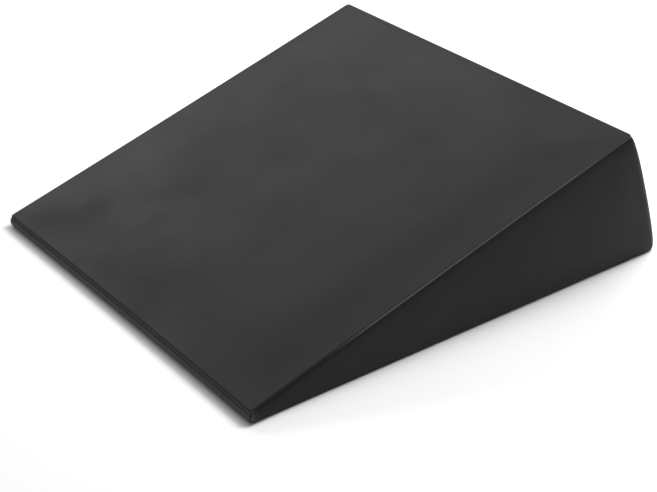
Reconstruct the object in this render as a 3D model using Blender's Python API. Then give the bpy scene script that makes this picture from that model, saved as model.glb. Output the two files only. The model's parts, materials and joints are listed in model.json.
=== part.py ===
"""Slant board: an upholstered foam wedge for physiotherapy.

A foam core stands inside a sewn cover of seven panels. The cover opens along a coil zip in the tall back face.
Units are metres, +Z is up, X runs across the wedge, and the low lip is at -Y. The origin is the centre of the base.
"""

import math

import bmesh
import bpy
from mathutils import Vector

MM = 0.001
SHARP_FROM = math.radians(35)  # edges that turn less than this are shaded round

# The wedge, measured over the cover.
WIDTH = 0.500
BASE_LENGTH = 0.550
TALL_HEIGHT = 0.158
LIP_HEIGHT = 0.0145
BACK_LEAN = 0.055  # how far the back face comes forward between the base and the top
FRONT_CORNER_R = 5.5 * MM
BACK_CORNER_R = 6 * MM
ARC_STEPS = 6  # straight pieces in each quarter circle

# The cover's fabric and its seams.
FABRIC = 1.0 * MM
SEAM_GAP = 0.3 * MM  # each panel stops this far short of a seam line
SEAM_ALLOWANCE = 4.0 * MM  # edge turned in at the top and base seams
SIDE_WRAP = 25 * MM  # the side panels carry on round the corner and along the back by this
THREAD_STANDOFF = 0.6 * MM  # from the raw edges to the overlock thread
THREAD_THICKNESS = 0.6 * MM
THREAD_WIDTH = 2.2 * MM

# The foam.
CORE_CLEARANCE = 2.4 * MM
CORE_CHAMFER = 4.0 * MM  # room for the seam allowances
GROOVE_HALF_WIDTH = 9 * MM  # the slider's lower plate presses this groove into the foam
GROOVE_DEPTH = 4.2 * MM  # below the cover's outer face

# The zip, measured on the back face: up from the base along the face, and out from the face.
ZIP_UP = 0.048
ZIP_OPENING = 14 * MM  # between the two panel edges
TAPE_OUT = -1.3 * MM  # outer face of the tape
TAPE_THICKNESS = 0.6 * MM
TAPE_WIDTH = 14 * MM
TAPE_CENTRE_GAP = 0.3 * MM  # from the zip's centre line to each tape
TAPE_TUCK = 10 * MM  # the tape's ends are sewn in under the side panels
COIL_OUT = 1.4 * MM  # how far the coil stands out of the cover
COIL_THICKNESS = 2.4 * MM
COIL_WIDTH = 2.7 * MM
COIL_CENTRE_GAP = 0.15 * MM
CHAIN_END_MARGIN = 10 * MM  # from the panels' end seams to the end of the chain
SPLAY = 1.5 * MM  # how far each half opens round the slider's post
SPLAY_FROM = -2.5 * MM  # along the slider, from its middle
SPLAY_TO = 0.5 * MM
STOP_LENGTH = 3 * MM
BOTTOM_STOP_LENGTH = 5 * MM
BOTTOM_STOP_HALF_WIDTH = 3.8 * MM  # wider and taller than the slider's mouth
BOTTOM_STOP_OUT = 2.2 * MM
STITCH_INSET = 2.5 * MM  # topstitching, from the panel's edge
STITCH_THICKNESS = 0.4 * MM

# The slider and its pull, measured from the slider's middle.
SLIDER_HALF_LENGTH = 6 * MM
SLIDER_REAR_HALF_WIDTH = 4.7 * MM
SLIDER_FRONT_HALF_WIDTH = 6.1 * MM
UPPER_PLATE = (1.7 * MM, 2.9 * MM)  # out of the back face, from and to
LOWER_PLATE = (-3.4 * MM, -2.2 * MM)
FLANGE_BOTTOM = -1.0 * MM
FLANGE_WALL = 1.2 * MM
POST_HALF_WIDTH = 1.3 * MM
BRIDGE_HALF_WIDTH = 1.0 * MM
BRIDGE_HALF_LENGTH = 2.65 * MM
BRIDGE_LEG = 0.9 * MM
BRIDGE_TOP = 5.7 * MM
PULL_AXIS_OUT = 3.8 * MM
PULL_THICKNESS = 1.2 * MM
PULL_HALF_WIDTH = 4.0 * MM
PULL_NECK = 3.7 * MM  # from the axis to the plate of the pull
PULL_HEEL = 0.45 * MM  # from the axis to the ends of the arms
PULL_LENGTH = 27 * MM

LABEL_WIDTH = 32 * MM
LABEL_HEIGHT = 24 * MM
LABEL_THICKNESS = 0.4 * MM
LABEL_X = -0.150

HALF_WIDTH = WIDTH / 2
FRONT_Y = -BASE_LENGTH / 2
BACK_Y = BASE_LENGTH / 2
RISE = (TALL_HEIGHT - LIP_HEIGHT) / (BASE_LENGTH - BACK_LEAN)
BACK_HEIGHT = math.hypot(TALL_HEIGHT, BACK_LEAN)  # along the leaning face
BACK_SEAM_X = HALF_WIDTH - BACK_CORNER_R - SIDE_WRAP

ACROSS = Vector((1, 0, 0))
BASE_NORMAL = Vector((0, 0, -1))
TOP_NORMAL = Vector((0, -RISE, 1)).normalized()
BACK_UP = Vector((0, -BACK_LEAN, TALL_HEIGHT)).normalized()
BACK_NORMAL = Vector((0, TALL_HEIGHT, BACK_LEAN)).normalized()

CHAIN_HALF_LENGTH = BACK_SEAM_X - CHAIN_END_MARGIN
SLIDER_X = CHAIN_HALF_LENGTH - STOP_LENGTH - SEAM_GAP - SLIDER_HALF_LENGTH


def clear_scene():
    for obj in list(bpy.data.objects):
        bpy.data.objects.remove(obj)


def material(name, colour, roughness, metallic=0.0):
    mat = bpy.data.materials.get(name) or bpy.data.materials.new(name)
    mat.use_nodes = True
    shader = mat.node_tree.nodes["Principled BSDF"]
    shader.inputs["Base Color"].default_value = (*colour, 1.0)
    shader.inputs["Roughness"].default_value = roughness
    shader.inputs["Metallic"].default_value = metallic
    return mat


def coated_fabric():
    return material("coated_fabric", (0.030, 0.030, 0.031), 0.60)


def foam():
    return material("foam", (0.48, 0.47, 0.44), 0.95)


def zip_textile():
    return material("zip_textile", (0.018, 0.018, 0.019), 0.80)


def seam_textile():
    return material("seam_textile", (0.020, 0.020, 0.021), 0.80)


def zip_metal():
    return material("zip_metal", (0.060, 0.060, 0.063), 0.35, 1.0)


def label_textile():
    return material("label_textile", (0.55, 0.55, 0.54), 0.85)


def new_object(name, points, faces, mat, location=(0, 0, 0)):
    mesh = bpy.data.meshes.new(name)
    mesh.from_pydata([Vector(p) - Vector(location) for p in points], [], faces)
    shape = bmesh.new()
    shape.from_mesh(mesh)
    bmesh.ops.recalc_face_normals(shape, faces=shape.faces)
    shape.to_mesh(mesh)
    shape.free()
    mesh.shade_smooth()
    mesh.set_sharp_from_angle(angle=SHARP_FROM)
    mesh.materials.append(mat)
    obj = bpy.data.objects.new(name, mesh)
    obj.location = location
    bpy.context.scene.collection.objects.link(obj)
    return obj


def thicken(obj, thickness):
    """Gives a sheet its thickness, on the inside of its outer face."""
    solidify = obj.modifiers.new("thickness", "SOLIDIFY")
    solidify.thickness = thickness
    solidify.offset = -1.0
    solidify.use_even_offset = True
    solidify.use_quality_normals = True


# ---------------------------------------------------------------------------
# Outlines. A station is a place on the wedge's outline: its x, its y on the base, its y at the top edge, and the
# direction in which the outline runs there, anticlockwise seen from above.
# ---------------------------------------------------------------------------


def top_z(y):
    return LIP_HEIGHT + (y - FRONT_Y) * RISE


def arc(side, end, first, last, inset=0.0):
    """Stations round one corner: side is +1 for right, end is +1 for back. Angles are in degrees from +X."""
    radius = BACK_CORNER_R if end > 0 else FRONT_CORNER_R
    turn = max(radius - inset, 1.0 * MM)
    edge = inset + turn  # from the wedge's faces to the arc's centre
    lean = BACK_LEAN if end > 0 else 0.0
    centre_x = side * (HALF_WIDTH - edge)
    centre_y = end * (BASE_LENGTH / 2 - edge)
    steps = max(1, round(ARC_STEPS * abs(last - first) / 90))
    stations = []
    for i in range(steps + 1):
        angle = math.radians(first + (last - first) * i / steps)
        x = centre_x + turn * math.cos(angle)
        y = centre_y + turn * math.sin(angle)
        stations.append((x, y, y - lean, (-math.sin(angle), math.cos(angle))))
    return stations


def full_outline(inset=0.0):
    return (
        arc(1, -1, -90, 0, inset)
        + arc(1, 1, 0, 90, inset)
        + arc(-1, 1, 90, 180, inset)
        + arc(-1, -1, 180, 270, inset)
    )


def base_point(station, height=0.0):
    """A point on the base edge, or on the wall at some height above it."""
    lean = (station[1] - station[2]) * height / top_z(station[2])
    return Vector((station[0], station[1] - lean, height))


def top_point(station, depth=0.0):
    """A point on the top edge, or depth below the sloping face."""
    return Vector((station[0], station[2], top_z(station[2]))) - depth * TOP_NORMAL


def wall_up(station):
    return (top_point(station) - base_point(station)).normalized()


def wall_normal(station):
    run = Vector((station[3][0], station[3][1], 0))
    return run.cross(wall_up(station)).normalized()


def turned_in(station, face_normal):
    """The step from a seam line to the raw edge of the allowance, halfway between the two panels' planes."""
    return -SEAM_ALLOWANCE * (face_normal + wall_normal(station)).normalized()


def ring_faces(first, second, count):
    """Quads between two closed rings of vertices."""
    return [
        (first + i, first + (i + 1) % count, second + (i + 1) % count, second + i)
        for i in range(count)
    ]


# ---------------------------------------------------------------------------
# The cover
# ---------------------------------------------------------------------------


def face_panel(name, at, normal):
    """The top or the base: a flat sheet whose edge is turned in all round as the seam allowance."""
    stations = full_outline(SEAM_GAP)
    edge = [at(s) for s in stations]
    raw = [p + turned_in(s, normal) for p, s in zip(edge, stations)]
    count = len(stations)
    faces = [tuple(range(count))] + ring_faces(count, 0, count)
    panel = new_object(name, edge + raw, faces, coated_fabric())
    if panel.data.polygons[0].normal.dot(normal) < 0:
        panel.data.flip_normals()
    thicken(panel, FABRIC)


def wall_panel(name, stations, low=None, high=None):
    """An upright panel along some stations. low and high are distances up the wall; where one is left out, the panel
    runs to that seam and its edge is turned in."""
    rows = []
    if low is None:
        foot = [base_point(s) + SEAM_GAP * wall_up(s) for s in stations]
        rows.append([p + turned_in(s, BASE_NORMAL) for p, s in zip(foot, stations)])
        rows.append(foot)
    else:
        rows.append([base_point(s) + low * wall_up(s) for s in stations])
    if high is None:
        head = [top_point(s) - SEAM_GAP * wall_up(s) for s in stations]
        rows.append(head)
        rows.append([p + turned_in(s, TOP_NORMAL) for p, s in zip(head, stations)])
    else:
        rows.append([base_point(s) + high * wall_up(s) for s in stations])
    count = len(stations)
    faces = []
    for r in range(len(rows) - 1):
        for c in range(count - 1):
            a = r * count + c
            faces.append((a, a + 1, a + 1 + count, a + count))
    panel = new_object(name, sum(rows, []), faces, coated_fabric())
    wall = panel.data.polygons[0 if low is not None else count - 1]
    if wall.normal.dot(wall_normal(stations[0])) < 0:
        panel.data.flip_normals()
    thicken(panel, FABRIC)


def back_station(x):
    return (x, BACK_Y, BACK_Y - BACK_LEAN, (-1, 0))


def side_stations(side):
    """From the middle of the front corner, along the side, round the back corner and a little way along the back."""
    gap = math.degrees(SEAM_GAP / FRONT_CORNER_R)
    if side > 0:
        start = arc(1, -1, -45 + gap, 0)
        return start + arc(1, 1, 0, 90) + [back_station(BACK_SEAM_X + SEAM_GAP)]
    end = arc(-1, -1, 180, 225 - gap)
    return [back_station(-BACK_SEAM_X - SEAM_GAP)] + arc(-1, 1, 90, 180) + end


def seam_thread(name, at, normal):
    """The overlock thread that binds the raw edges of a seam, as one closed ring with a rectangular section."""
    stations = full_outline()
    near = SEAM_ALLOWANCE + THREAD_STANDOFF
    section = [(near, 1), (near + THREAD_THICKNESS, 1), (near + THREAD_THICKNESS, -1), (near, -1)]
    count = len(stations)
    points = []
    for depth, side in section:
        for s in stations:
            inward = -(normal + wall_normal(s)).normalized()
            across = (normal - wall_normal(s)).normalized()
            points.append(at(s) + depth * inward + side * THREAD_WIDTH / 2 * across)
    faces = []
    for i in range(4):
        faces += ring_faces(i * count, (i + 1) % 4 * count, count)
    new_object(name, points, faces, seam_textile())


def build_cover():
    face_panel("top_panel", top_point, TOP_NORMAL)
    face_panel("base_panel", base_point, BASE_NORMAL)
    seam_thread("top_seam_thread", top_point, TOP_NORMAL)
    seam_thread("base_seam_thread", base_point, BASE_NORMAL)
    wall_panel("right_side_panel", side_stations(1))
    wall_panel("left_side_panel", side_stations(-1))
    gap = math.degrees(SEAM_GAP / FRONT_CORNER_R)
    front = arc(-1, -1, 225 + gap, 270) + arc(1, -1, -90, -45 - gap)
    wall_panel("front_band", front)
    back = [back_station(x) for x in (BACK_SEAM_X - SEAM_GAP, -BACK_SEAM_X + SEAM_GAP)]
    wall_panel("back_lower_panel", back, high=ZIP_UP - ZIP_OPENING / 2)
    wall_panel("back_upper_panel", back, low=ZIP_UP + ZIP_OPENING / 2)


# ---------------------------------------------------------------------------
# The foam
# ---------------------------------------------------------------------------


def build_core():
    """A wedge inside the cover, chamfered where the seam allowances lie, with a groove behind the zip."""
    outer = full_outline(CORE_CLEARANCE)
    inner = full_outline(CORE_CLEARANCE + CORE_CHAMFER)
    shoulder = CORE_CLEARANCE + CORE_CHAMFER
    rings = [
        [base_point(s, CORE_CLEARANCE) for s in inner],
        [base_point(s, shoulder) for s in outer],
        [top_point(s, shoulder) for s in outer],
        [top_point(s, CORE_CLEARANCE) for s in inner],
    ]
    count = len(outer)
    faces = [tuple(reversed(range(count))), tuple(range(3 * count, 4 * count))]
    for r in range(3):
        faces += ring_faces(r * count, (r + 1) * count, count)
    core = new_object("foam_core", sum(rings, []), faces, foam())
    half = CHAIN_HALF_LENGTH + TAPE_TUCK
    cutter = back_block(
        "groove_cutter",
        (-half, half),
        (ZIP_UP - GROOVE_HALF_WIDTH, ZIP_UP + GROOVE_HALF_WIDTH),
        (-GROOVE_DEPTH, 5 * MM),
        foam(),
    )
    cutter.hide_render = True
    cutter.display_type = "WIRE"
    groove = core.modifiers.new("groove", "BOOLEAN")
    groove.operation = "DIFFERENCE"
    groove.object = cutter


# ---------------------------------------------------------------------------
# The zip. Points are placed on the back face: x across, up from the base along the face, out of the face.
# ---------------------------------------------------------------------------


def on_back(x, up, out):
    return Vector((x, BACK_Y, 0)) + up * BACK_UP + out * BACK_NORMAL


def back_prism(name, plan, out, mat, location=(0, 0, 0)):
    """A prism on the back face: plan is a list of (x, up), out is (from, to)."""
    count = len(plan)
    points = [on_back(x, up, o) for o in out for x, up in plan]
    faces = [tuple(range(count)), tuple(range(count, 2 * count))]
    faces += ring_faces(0, count, count)
    return new_object(name, points, faces, mat, location)


def back_block(name, x, up, out, mat, location=(0, 0, 0)):
    plan = [(x[0], up[0]), (x[1], up[0]), (x[1], up[1]), (x[0], up[1])]
    return back_prism(name, plan, out, mat, location)


def splay(x):
    """How far a half of the chain stands off the centre line at x, as it opens inside the closed slider."""
    share = (x - SLIDER_X - SPLAY_FROM) / (SPLAY_TO - SPLAY_FROM)
    share = min(1.0, max(0.0, share))
    return SPLAY * share * share * (3 - 2 * share)


def chain_strip(name, side, x_from, x_to, inner, outer, out, mat, straight_outside=False):
    """One half of the zip, above (side +1) or below the centre line, following the splay."""
    bend = [SLIDER_X + SPLAY_FROM + (SPLAY_TO - SPLAY_FROM) * i / 4 for i in range(5)]
    xs = [x_from] + bend + [x_to]
    near = [(x, ZIP_UP + side * (inner + splay(x))) for x in xs]
    if straight_outside:
        far = [(x, ZIP_UP + side * outer) for x in (x_from, x_to)]
    else:
        far = [(x, ZIP_UP + side * (outer + splay(x))) for x in xs]
    return back_prism(name, near + far[::-1], out, mat)


def build_chain():
    tape_end = CHAIN_HALF_LENGTH + CHAIN_END_MARGIN + TAPE_TUCK
    chain_end = SLIDER_X + SLIDER_HALF_LENGTH
    stop_x = (chain_end + SEAM_GAP, chain_end + SEAM_GAP + STOP_LENGTH)
    coil_out = (COIL_OUT - COIL_THICKNESS, COIL_OUT)
    for word, side in (("upper", 1), ("lower", -1)):
        chain_strip(
            f"zip_tape_{word}",
            side,
            -tape_end,
            tape_end,
            TAPE_CENTRE_GAP,
            TAPE_CENTRE_GAP + TAPE_WIDTH,
            (TAPE_OUT - TAPE_THICKNESS, TAPE_OUT),
            zip_textile(),
            straight_outside=True,
        )
        chain_strip(
            f"zip_coil_{word}",
            side,
            -CHAIN_HALF_LENGTH,
            chain_end,
            COIL_CENTRE_GAP,
            COIL_CENTRE_GAP + COIL_WIDTH,
            coil_out,
            zip_textile(),
        )
        near = ZIP_UP + side * (COIL_CENTRE_GAP + SPLAY)
        far = near + side * COIL_WIDTH
        back_block(f"zip_top_stop_{word}", stop_x, (near, far), coil_out, zip_metal())
        edge = ZIP_UP + side * (ZIP_OPENING / 2 + STITCH_INSET)
        half = STITCH_THICKNESS / 2
        reach = BACK_SEAM_X - 2 * MM
        back_block(
            f"zip_topstitch_{word}",
            (-reach, reach),
            (edge - half, edge + half),
            (SEAM_GAP, SEAM_GAP + STITCH_THICKNESS),
            zip_textile(),
        )
    end = -CHAIN_HALF_LENGTH - SEAM_GAP
    back_block(
        "zip_bottom_stop",
        (end - BOTTOM_STOP_LENGTH, end),
        (ZIP_UP - BOTTOM_STOP_HALF_WIDTH, ZIP_UP + BOTTOM_STOP_HALF_WIDTH),
        (COIL_OUT - COIL_THICKNESS, BOTTOM_STOP_OUT),
        zip_metal(),
    )


def slider_plan(margin=0.0):
    """The slider's plates from above: narrow where the chain leaves closed, wide at the throat."""
    rear = SLIDER_REAR_HALF_WIDTH - margin
    front = SLIDER_FRONT_HALF_WIDTH - margin
    half = SLIDER_HALF_LENGTH - margin
    right = [(-half, rear), (SPLAY_FROM, rear), (SPLAY_TO, front), (half - 1.5 * MM, front)]
    nose = [(half, front - 1.5 * MM), (half, -front + 1.5 * MM)]
    return right + nose + [(x, -u) for x, u in reversed(right)]


def flange_plan(side):
    """The wall that keeps one half of the chain under the upper plate."""
    wall = [
        (-SLIDER_HALF_LENGTH, SLIDER_REAR_HALF_WIDTH),
        (SPLAY_FROM, SLIDER_REAR_HALF_WIDTH),
        (SPLAY_TO, SLIDER_FRONT_HALF_WIDTH),
        (SLIDER_HALF_LENGTH - 1.5 * MM, SLIDER_FRONT_HALF_WIDTH),
    ]
    inside = [(x, u - FLANGE_WALL) for x, u in reversed(wall)]
    return [(x, side * u) for x, u in wall + inside]


def slider_piece(plan, out, mat):
    centre = on_back(SLIDER_X, ZIP_UP, 0)
    placed = [(SLIDER_X + x, ZIP_UP + u) for x, u in plan]
    piece = back_prism("slider_piece", placed, out, mat, centre)
    piece.hide_render = True
    piece.display_type = "WIRE"
    return piece


def join(obj, pieces):
    for piece in pieces:
        union = obj.modifiers.new("join", "BOOLEAN")
        union.operation = "UNION"
        union.object = piece


def rectangle(x_from, x_to, half_width):
    return [(x_from, -half_width), (x_to, -half_width), (x_to, half_width), (x_from, half_width)]


def build_slider():
    """Two plates joined by the post that parts the chain, with a bridge on top for the pull."""
    mat = zip_metal()
    bite = 0.2 * MM  # how far joined pieces run into each other
    post = [(0.8 * MM, 0), (2.2 * MM, -POST_HALF_WIDTH), (5.2 * MM, -0.9 * MM)]
    post += [(5.2 * MM, 0.9 * MM), (2.2 * MM, POST_HALF_WIDTH)]
    leg_out = (UPPER_PLATE[1] - bite, BRIDGE_TOP)
    leg = BRIDGE_HALF_LENGTH - BRIDGE_LEG
    pieces = [
        slider_piece(slider_plan(), LOWER_PLATE, mat),
        slider_piece(flange_plan(1), (FLANGE_BOTTOM, UPPER_PLATE[0] + bite), mat),
        slider_piece(flange_plan(-1), (FLANGE_BOTTOM, UPPER_PLATE[0] + bite), mat),
        slider_piece(post, (LOWER_PLATE[1] - bite, UPPER_PLATE[0] + bite), mat),
        slider_piece(rectangle(-BRIDGE_HALF_LENGTH, -leg, BRIDGE_HALF_WIDTH), leg_out, mat),
        slider_piece(rectangle(leg, BRIDGE_HALF_LENGTH, BRIDGE_HALF_WIDTH), leg_out, mat),
        slider_piece(
            rectangle(-leg - bite, leg + bite, BRIDGE_HALF_WIDTH),
            (BRIDGE_TOP - BRIDGE_LEG, BRIDGE_TOP),
            mat,
        ),
    ]
    centre = on_back(SLIDER_X, ZIP_UP, 0)
    placed = [(SLIDER_X + x, ZIP_UP + u) for x, u in slider_plan()]
    slider = back_prism("zip_slider", placed, UPPER_PLATE, mat, centre)
    join(slider, pieces)


def build_pull():
    """A flat tab whose two arms hold a round bar under the slider's bridge. It lies along the closed chain."""
    mat = zip_metal()
    axis = on_back(SLIDER_X, ZIP_UP, PULL_AXIS_OUT)
    radius = PULL_THICKNESS / 2
    arm_in = BRIDGE_HALF_WIDTH + 0.5 * MM
    arm_out = arm_in + 1.5 * MM
    end_r = 2.0 * MM
    outline = [(PULL_HEEL, arm_out), (-PULL_NECK - 3 * MM, PULL_HALF_WIDTH)]
    centre = -PULL_LENGTH + end_r
    for i in range(4):
        turn = math.radians(90 + 30 * i)
        corner = PULL_HALF_WIDTH - end_r
        outline.append((centre + end_r * math.cos(turn), corner + end_r * math.sin(turn)))
    outline += [(x, -u) for x, u in reversed(outline)]
    notch = [(PULL_HEEL, -arm_in), (-PULL_NECK, -arm_in), (-PULL_NECK, arm_in)]
    notch.append((PULL_HEEL, arm_in))
    placed = [(SLIDER_X + x, ZIP_UP + u) for x, u in outline + notch]
    out = (PULL_AXIS_OUT - radius, PULL_AXIS_OUT + radius)
    pull = back_prism("zip_pull_tab", placed, out, mat, axis)
    sides = 12
    ring = []
    for u in (-arm_in - 0.4 * MM, arm_in + 0.4 * MM):
        for i in range(sides):
            turn = 2 * math.pi * i / sides
            spot = (radius * 0.98 * math.cos(turn), radius * 0.98 * math.sin(turn))
            ring.append(on_back(SLIDER_X + spot[0], ZIP_UP + u, PULL_AXIS_OUT + spot[1]))
    faces = [tuple(range(sides)), tuple(range(sides, 2 * sides))]
    faces += ring_faces(0, sides, sides)
    bar = new_object("pull_bar", ring, faces, mat, axis)
    bar.hide_render = True
    bar.display_type = "WIRE"
    join(pull, [bar])


def build_label():
    """A blank label, sewn in at the base seam and lying on the lower back panel."""
    half = LABEL_WIDTH / 2
    back_block(
        "care_label",
        (LABEL_X - half, LABEL_X + half),
        (4 * MM, 4 * MM + LABEL_HEIGHT),
        (SEAM_GAP, SEAM_GAP + LABEL_THICKNESS),
        label_textile(),
    )


clear_scene()
build_cover()
build_core()
build_chain()
build_slider()
build_pull()
build_label()
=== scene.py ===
"""Looks of the slant board: a foam wedge in a sewn cover of matt black fabric, with a zip in its tall back.

Lengths are in metres, and the wedge's sizes are read from the frame. The cover's panels are fine meshes whose
edges roll into the seams. Their swell is set by given sizes and their slack is smooth noise. A cloth simulation
of the whole wedge only scales the swell down, by up to a quarter.
"""

import json
import math

import bmesh
import bpy
import numpy as np
from mathutils import Matrix, Vector, noise
from mathutils.bvhtree import BVHTree
from mathutils.interpolate import poly_3d_calc


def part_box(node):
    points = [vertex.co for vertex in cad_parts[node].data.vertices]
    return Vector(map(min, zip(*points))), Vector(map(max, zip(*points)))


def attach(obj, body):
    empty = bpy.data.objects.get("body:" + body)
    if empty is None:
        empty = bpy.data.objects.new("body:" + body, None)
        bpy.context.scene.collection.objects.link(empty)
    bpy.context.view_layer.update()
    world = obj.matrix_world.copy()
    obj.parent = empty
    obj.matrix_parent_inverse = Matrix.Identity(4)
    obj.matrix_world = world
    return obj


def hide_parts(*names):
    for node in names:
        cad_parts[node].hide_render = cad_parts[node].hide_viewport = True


MM = 0.001

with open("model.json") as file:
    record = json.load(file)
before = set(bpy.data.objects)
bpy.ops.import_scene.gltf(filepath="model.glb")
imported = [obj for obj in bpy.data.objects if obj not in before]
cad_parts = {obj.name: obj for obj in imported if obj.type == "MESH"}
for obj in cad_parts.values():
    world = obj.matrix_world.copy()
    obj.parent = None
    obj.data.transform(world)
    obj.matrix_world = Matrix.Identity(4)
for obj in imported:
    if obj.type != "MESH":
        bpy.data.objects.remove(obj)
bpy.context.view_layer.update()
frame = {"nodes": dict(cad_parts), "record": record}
ROOT = "wedge"

# --- The wedge's sizes, from the frame

SEAM_GAP = 0.3 * MM

slope_mount = next(m for m in frame["record"]["mounts"] if m["name"] == "slope")
base_low, base_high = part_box("base_panel")

HALF_WIDTH = base_high.x + SEAM_GAP
FRONT_Y = base_low.y - SEAM_GAP
BACK_Y = base_high.y + SEAM_GAP
TOP_BACK_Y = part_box("top_panel")[1].y + SEAM_GAP
LEAN = BACK_Y - TOP_BACK_Y
TOP_NORMAL = Vector(slope_mount["axis"]).normalized()
RISE = -TOP_NORMAL.y / TOP_NORMAL.z
SLOPE_POINT = Vector(slope_mount["pos_m"])
DOWN = Vector((0, 0, -1))


def top_z(y):
    return SLOPE_POINT.z + (y - SLOPE_POINT.y) * RISE


TALL = top_z(TOP_BACK_Y)
BACK_NORMAL = Vector((0, TALL, LEAN)).normalized()
BACK_UP = Vector((0, -LEAN, TALL)).normalized()


def back_face_spot(point):
    """(x, distance up the back face, distance out of it) of a point."""
    offset = Vector(point) - Vector((0, BACK_Y, 0))
    return offset.x, offset.dot(BACK_UP), offset.dot(BACK_NORMAL)


def on_back(x, up, out=0.0):
    return Vector((x, BACK_Y, 0)) + up * BACK_UP + out * BACK_NORMAL


def box_on_back(node):
    """Lowest and highest (x, up, out) of a node that lies on the back face."""
    spots = np.array([back_face_spot(v.co) for v in frame["nodes"][node].data.vertices])
    return spots.min(0).tolist(), spots.max(0).tolist()


ZIP_UP = (box_on_back("zip_coil_upper")[0][1] + box_on_back("zip_coil_lower")[1][1]) / 2
SLIDER_X = sum(spot[0] for spot in box_on_back("zip_slider")) / 2

# --- Materials


class Shader:
    """A Principled material that is built up node by node."""

    def __init__(self, name, **values):
        self.material = bpy.data.materials.new(name)
        self.material.use_nodes = True
        self.tree = self.material.node_tree
        self.principled = self.tree.nodes["Principled BSDF"]
        for socket, value in values.items():
            self.principled.inputs[socket.replace("_", " ")].default_value = value
        self.place = self.node("ShaderNodeTexCoord").outputs["Object"]

    def node(self, kind, **settings):
        made = self.tree.nodes.new(kind)
        for key, value in settings.items():
            setattr(made, key, value)
        return made

    def link(self, source, target):
        self.tree.links.new(source, target)

    def turned(self, rotation):
        mapping = self.node("ShaderNodeMapping", vector_type="TEXTURE")
        mapping.inputs["Rotation"].default_value = rotation
        self.link(self.place, mapping.inputs["Vector"])
        return mapping.outputs["Vector"]

    def noise(self, scale, detail=3.0, roughness=0.5):
        made = self.node("ShaderNodeTexNoise")
        made.inputs["Scale"].default_value = scale
        made.inputs["Detail"].default_value = detail
        made.inputs["Roughness"].default_value = roughness
        self.link(self.place, made.inputs["Vector"])
        return made.outputs["Fac"]

    def cells(self, scale, feature):
        made = self.node("ShaderNodeTexVoronoi", feature=feature)
        made.inputs["Scale"].default_value = scale
        self.link(self.place, made.inputs["Vector"])
        return made.outputs["Distance"]

    def wave(self, scale, direction, place=None, distortion=0.0):
        made = self.node("ShaderNodeTexWave", wave_type="BANDS", bands_direction=direction)
        made.inputs["Scale"].default_value = scale
        made.inputs["Distortion"].default_value = distortion
        self.link(place or self.place, made.inputs["Vector"])
        return made.outputs["Fac"]

    def math(self, operation, a, b=0.0, clamp=False):
        made = self.node("ShaderNodeMath", operation=operation, use_clamp=clamp)
        for socket, value in zip(made.inputs, (a, b)):
            if isinstance(value, (int, float)):
                socket.default_value = value
            else:
                self.link(value, socket)
        return made.outputs["Value"]

    def spread(self, value, low, high, source=(0.0, 1.0)):
        """Maps a value in the source's range onto low to high."""
        made = self.node("ShaderNodeMapRange")
        made.inputs["From Min"].default_value = source[0]
        made.inputs["From Max"].default_value = source[1]
        made.inputs["To Min"].default_value = low
        made.inputs["To Max"].default_value = high
        self.link(value, made.inputs["Value"])
        return made.outputs["Result"]

    def ramp(self, value, *stops):
        made = self.node("ShaderNodeValToRGB")
        elements = made.color_ramp.elements
        while len(elements) < len(stops):
            elements.new(0.5)
        for element, (position, colour) in zip(elements, stops):
            element.position = position
            element.color = (*colour, 1.0)
        self.link(value, made.inputs["Fac"])
        return made.outputs["Color"]

    def attribute(self, name):
        return self.node("ShaderNodeAttribute", attribute_name=name).outputs["Fac"]

    def mixed(self, share, colour, other):
        """A colour that turns into another, constant one as share rises."""
        made = self.node("ShaderNodeMix", data_type="RGBA")
        factor, first, second = (made.inputs[i] for i in (0, 6, 7))
        self.link(share, factor)
        self.link(colour, first)
        second.default_value = (*other, 1.0)
        return made.outputs[2]

    def set(self, socket, value):
        self.link(value, self.principled.inputs[socket])

    def bump(self, height, distance, strength=1.0, below=None):
        made = self.node("ShaderNodeBump")
        made.inputs["Distance"].default_value = distance
        made.inputs["Strength"].default_value = strength
        self.link(height, made.inputs["Height"])
        if below is not None:
            self.link(below, made.inputs["Normal"])
        return made.outputs["Normal"]


BACK_TILT = math.atan2(LEAN, TALL)
# painted highlight, with some edge wear: the paler grey of the top edges and the lip stands in for the light
# that their rounded edges catch
HIGHLIGHT_WEAR_GREY = 0.085


def grey(value, warmth=-0.02):
    return (value * (1 + warmth), value, value * (1 - warmth))


def coated_fabric():
    """Matt black polyurethane: a fine pebbled grain and faint clouds. Along the top edges and over the lip it
    is paler, with a painted highlight and some edge wear, and smoother.
    """
    s = Shader("coated_fabric", IOR=1.45, Specular_IOR_Level=0.15)
    cloud = s.noise(9.0, detail=4.0, roughness=0.55)
    mottle = s.noise(520.0, detail=3.0, roughness=0.6)
    both = s.math("ADD", s.math("MULTIPLY", cloud, 0.6), s.math("MULTIPLY", mottle, 0.4))
    # painted highlight and painted light, with some edge wear: the attribute lightens the colour and lowers the
    # roughness along the top edges and over the lip
    highlight_wear_share = s.math("MULTIPLY", s.attribute("highlight_wear"), s.spread(s.noise(38.0, detail=5.0), 0.8, 1.1, (0.3, 0.7)))
    plain = s.ramp(both, (0.25, grey(0.0115)), (0.75, grey(0.0165)))
    s.set("Base Color", s.mixed(highlight_wear_share, plain, grey(HIGHLIGHT_WEAR_GREY)))
    rough = s.spread(s.noise(14.0, detail=5.0), 0.46, 0.56, (0.25, 0.75))
    s.set("Roughness", s.math("SUBTRACT", rough, s.math("MULTIPLY", highlight_wear_share, 0.12)))
    grain = s.cells(950.0, "SMOOTH_F1")
    creases = s.noise(260.0, detail=6.0, roughness=0.65)
    coarse = s.bump(creases, 0.05 * MM, 0.35)
    s.set("Normal", s.bump(grain, 0.06 * MM, 0.45, coarse))
    return s.material


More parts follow.
